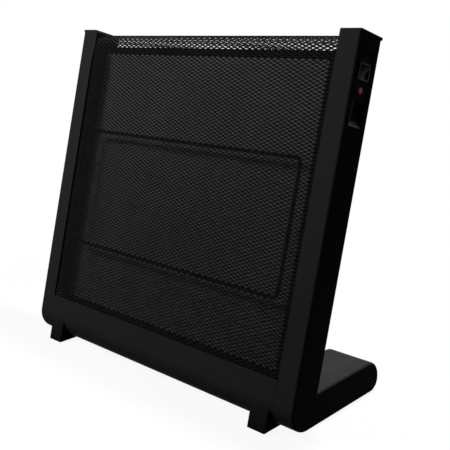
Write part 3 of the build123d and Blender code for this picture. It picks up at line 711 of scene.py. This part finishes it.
class HEATER_OT_covers(bpy.types.Operator):
    """Make the top caps, and finish the side covers, rails and inner sheets"""
    bl_idname = "heater.covers"
    bl_label = "Covers"

    def execute(self, context):
        coat_nodes(["side_cover_right", "side_cover_left", "front_rail", "rear_rail", "inner_cover_right",
                    "inner_cover_left"])
        soften("top_cap_right", "cap_right", 0.00025)
        soften("top_cap_left", "cap_left", 0.00025)
        return {"FINISHED"}


class HEATER_OT_feet(bpy.types.Operator):
    """Make the toe feet and base covers, and finish the floor pads and the plunger"""
    bl_idname = "heater.feet"
    bl_label = "Feet"

    def execute(self, context):
        soften("toe_foot_right", "toe_right", 0.0006)
        soften("toe_foot_left", "toe_left", 0.0006)
        soften("base_cover_right", "base_plate_right", 0.0003)
        soften("base_cover_left", "base_plate_left", 0.0003)
        coat_nodes(["floor_pads", "tip_plunger"])
        return {"FINISHED"}


class HEATER_OT_controls(bpy.types.Operator):
    """Make the rocker, its bezel and the control plate, and finish the pilot lamp and the grips"""
    bl_idname = "heater.controls"
    bl_label = "Controls"

    def execute(self, context):
        soften("control_plate", "control_panel", 0.0003)
        soften("switch_body", "switch_housing", 0.00035)
        soften("switch_rocker", "rocker_cap", 0.0006)
        coat(frame["nodes"]["pilot_lens"], "lamp_red")
        coat_nodes(["lamp_holder", "grip_cup_right", "grip_cup_left"])
        # Only the right grip's lip gets the lighter, glossier finish, as a painted highlight
        coat_lip(frame["nodes"]["grip_cup_right"], "worn_lip")
        return {"FINISHED"}


class HEATER_OT_element(bpy.types.Operator):
    """Finish the heating element: radiant sheets, boards, ribbon and channels"""
    bl_idname = "heater.element"
    bl_label = "Element"

    def execute(self, context):
        coat_nodes(["radiant_sheet_front", "radiant_sheet_rear", "mica_board_front", "mica_board_rear",
                    "heating_ribbon", "ceramic_spacers", "thermal_cutout"])
        for name in ("element_top_channel", "element_bottom_channel", "element_side_channels",
                     "element_screws"):
            coat(frame["nodes"][name], "dark_channel")
        return {"FINISHED"}


def mesh_from(shape, name):
    """A plain mesh from a shape that is done with."""
    mesh = bpy.data.meshes.new(name)
    shape.to_mesh(mesh)
    shape.free()
    return mesh


def screw_body():
    """The turned body of a pan-head screw, its seat at the origin and its head along +Z."""
    shape = bmesh.new()
    turns = [2 * math.pi * k / SCREW_SIDES for k in range(SCREW_SIDES)]
    rings = []
    for radius, z in SCREW_RINGS:
        if radius == 0.0:
            rings.append([shape.verts.new((0, 0, z))])
        else:
            rings.append([shape.verts.new((radius * math.cos(a), radius * math.sin(a), z)) for a in turns])
    for upper, lower in zip(rings, rings[1:]):
        for k in range(SCREW_SIDES):
            m = (k + 1) % SCREW_SIDES
            sequence = ((upper, k), (lower, k), (lower, m), (upper, m))
            corners = [ring[turn % len(ring)] for ring, turn in sequence]
            shape.faces.new([corner for i, corner in enumerate(corners) if corner not in corners[:i]])
    bmesh.ops.recalc_face_normals(shape, faces=shape.faces)
    return mesh_from(shape, "screw_head")


def cross_recess():
    """Two crossed bars that narrow towards their floor, to be cut out of a screw's head."""
    shape = bmesh.new()
    for long_way in (0, 1):
        half = [RECESS_WIDE, RECESS_WIDE]
        half[long_way] = RECESS_LONG
        for vert in bmesh.ops.create_cube(shape, size=2.0)["verts"]:
            high = vert.co.z > 0
            vert.co.x *= half[0]
            vert.co.y *= half[1]
            vert.co.z = RECESS_TOP if high else RECESS_FLOOR
            vert.co[long_way] *= 1.0 if high else RECESS_TAPER
    return mesh_from(shape, "cross_recess")


def screw_head():
    """A pan-head screw with a cross recess."""
    head = add_object("screw_head", screw_body())
    recess = add_object("cross_recess", cross_recess())
    cut = head.modifiers.new("cut", "BOOLEAN")
    cut.object = recess
    cut.use_self = True
    settle(head)
    bpy.data.objects.remove(recess)
    return head


def islands(shape):
    """The groups of joined vertices in a shape, one for each solid."""
    left = set(shape.verts)
    groups = []
    while left:
        start = left.pop()
        group, waiting = {start}, [start]
        while waiting:
            for edge in waiting.pop().link_edges:
                for vert in edge.verts:
                    if vert in left:
                        left.discard(vert)
                        group.add(vert)
                        waiting.append(vert)
        groups.append(group)
    return groups


def screw_points(nodes):
    """The seats and outward directions of the screws in CAD nodes, one per solid."""
    points = []
    for name, way in nodes.items():
        shape = bmesh.new()
        shape.from_mesh(frame["nodes"][name].data)
        bmesh.ops.remove_doubles(shape, verts=shape.verts, dist=MERGE_DISTANCE)
        for island in islands(shape):
            reach = max(vert.co.dot(way) for vert in island)
            middle = sum((vert.co for vert in island), Vector()) / len(island)
            points.append((middle + way * (reach - SCREW_HEAD_HEIGHT - middle.dot(way)), way))
        shape.free()
    points.sort(key=lambda pair: (round(pair[0].z, 4), round(pair[0].x, 4), round(pair[0].y, 4)))
    return points


class HEATER_OT_screws(bpy.types.Operator):
    """Make the screws that show at the rear and underneath"""
    bl_idname = "heater.screws"
    bl_label = "Screws"

    def execute(self, context):
        head = screw_head()
        down = Vector((0.0, 0.0, -1.0))
        nodes = {"rear_rail_screws": SLOPE_IN, "base_screws": down, "foot_screws": down}
        points = screw_points(nodes)
        mesh = bpy.data.meshes.new("outer_screws")
        mesh.from_pydata([seat for seat, way in points], [], [])
        ways = mesh.attributes.new("way", "FLOAT_VECTOR", "POINT")
        for entry, (seat, way) in zip(ways.data, points):
            entry.vector = way
        screws = add_object("outer_screws", mesh)
        run_tree(screws, screw_tree(), {"Screw": head})
        fasten(screws, "heater", nodes)
        bpy.data.objects.remove(head)
        return {"FINISHED"}


class HEATER_OT_inner_parts(bpy.types.Operator):
    """Finish the parts inside the covers"""
    bl_idname = "heater.inner_parts"
    bl_label = "Inner parts"

    def execute(self, context):
        coat_nodes(["cross_bar", "leg_bracket_right", "leg_bracket_left", "column_posts", "bracket_screws",
                    "cord_gland", "gland_nut", "terminal_block", "wiring", "tip_switch_body", "tip_spring",
                    "earth_tab"])
        return {"FINISHED"}


# Stage


def add_light(name, power):
    """Make one of the stage's square soft lights."""
    size, place, target = LIGHTS[name]
    lamp = bpy.data.lights.new(name, "AREA")
    lamp.energy = power
    lamp.size = size
    thing = add_object(name, lamp)
    thing.location = place
    thing.rotation_euler = (Vector(target) - Vector(place)).to_track_quat("-Z", "Y").to_euler()


def white_world(ambient):
    """Make a world that is white to the camera and in reflections, and a plain soft light elsewhere."""
    world = bpy.data.worlds.new("studio")
    world.use_nodes = True
    tree = world.node_tree
    tree.nodes.clear()
    strength = seen_straight(tree) * (1.0 - ambient) + ambient
    light = add_node(tree, "ShaderNodeBackground", {}, {"Color": opaque(WHITE), "Strength": strength})
    end = tree.nodes.new("ShaderNodeOutputWorld")
    feed(tree, end.inputs["Surface"], light)
    bpy.context.scene.world = world


def floor_finish():
    """A floor that is white to the camera, keeps a soft shadow and throws little light back."""
    finish = Finish("studio_floor", Roughness=0.9, Specular_IOR_Level=0.0)
    tree = finish.tree
    mask = seen_straight(tree)
    speck = finish.noise(60.0, 2.0)
    pale = finish.blend(speck, (0.88, 0.88, 0.88), (0.92, 0.92, 0.92))
    dim = finish.blend(speck, (0.018, 0.018, 0.018), (0.022, 0.022, 0.022))
    finish.set("Base Color", finish.blend(mask, dim, pale))
    away = finish.node("ShaderNodeVectorMath", {"operation": "LENGTH"}, {"Vector": finish.place}, "Value")
    glow = add_node(tree, "ShaderNodeEmission", {}, {"Color": opaque(WHITE), "Strength": 1.0})
    mixed = tree.nodes.new("ShaderNodeMixShader")
    lit = (1.0 - SHADOW_SHARE) + finish.step(away, SHADOW_NEAR, SHADOW_FAR) * SHADOW_SHARE
    feed(tree, mixed.inputs[0], mask * lit)
    feed(tree, mixed.inputs[1], Link(tree, finish.shader.outputs[0]))
    feed(tree, mixed.inputs[2], glow)
    end = next(n for n in tree.nodes if n.type == "OUTPUT_MATERIAL")
    feed(tree, end.inputs["Surface"], Link(tree, mixed.outputs[0]))
    return finish.material


class HEATER_OT_stage(bpy.types.Operator):
    """Make the floor, the lights and the camera"""
    bl_idname = "heater.stage"
    bl_label = "Stage"

    def execute(self, context):
        levels = context.scene.heater_stage
        white_world(levels.ambient)
        mesh = bpy.data.meshes.new("studio_floor")
        corners = [(x * FLOOR_REACH, y * FLOOR_REACH, 0.0) for x, y in ((-1, -1), (1, -1), (1, 1), (-1, 1))]
        mesh.from_pydata(corners, [], [(0, 1, 2, 3)])
        floor = add_object("studio_floor", mesh)
        floor.data.materials.append(floor_finish())
        add_light("key_light", levels.key_power)
        add_light("front_light", levels.front_power)
        add_light("rear_light", levels.rear_power)
        camera = bpy.data.cameras.new("camera")
        camera.lens = CAMERA_LENS
        camera.sensor_width = CAMERA_SENSOR
        view = add_object("camera", camera)
        view.location = CAMERA_PLACE
        view.rotation_euler = CAMERA_TURN
        context.scene.camera = view
        context.scene.view_settings.view_transform = "Standard"
        return {"FINISHED"}


# Panel and registration


class HEATER_PT_panel(bpy.types.Panel):
    """The heater's pieces and settings"""
    bl_label = "Panel heater"
    bl_idname = "HEATER_PT_panel"
    bl_space_type = "VIEW_3D"
    bl_region_type = "UI"
    bl_category = "Heater"

    def draw(self, context):
        for group in (context.scene.heater_guard, context.scene.heater_colours, context.scene.heater_stage):
            box = self.layout.box()
            for key in group.__annotations__:
                box.prop(group, key)
        for operator in OPERATORS:
            self.layout.operator(operator.bl_idname)


SETTINGS = {"heater_guard": HeaterGuardSettings, "heater_colours": HeaterColourSettings,
            "heater_stage": HeaterStageSettings}
OPERATORS = (HEATER_OT_stage, HEATER_OT_covers, HEATER_OT_guards, HEATER_OT_element, HEATER_OT_controls,
             HEATER_OT_feet, HEATER_OT_screws, HEATER_OT_inner_parts)


def register():
    """Register the settings, the operators and the panel."""
    for key, group in SETTINGS.items():
        bpy.utils.register_class(group)
        setattr(bpy.types.Scene, key, bpy.props.PointerProperty(type=group))
    for operator in OPERATORS:
        bpy.utils.register_class(operator)
    bpy.utils.register_class(HEATER_PT_panel)


def unregister():
    """Take the classes out again."""
    bpy.utils.unregister_class(HEATER_PT_panel)
    for operator in reversed(OPERATORS):
        bpy.utils.unregister_class(operator)
    for key, group in SETTINGS.items():
        delattr(bpy.types.Scene, key)
        bpy.utils.unregister_class(group)


def main():
    """Dress the whole heater."""
    register()
    make_finishes()
    bpy.ops.heater.stage()
    bpy.ops.heater.covers()
    bpy.ops.heater.guards()
    bpy.ops.heater.element()
    bpy.ops.heater.controls()
    bpy.ops.heater.feet()
    bpy.ops.heater.screws()
    bpy.ops.heater.inner_parts()


if __name__ == "__main__":
    main()
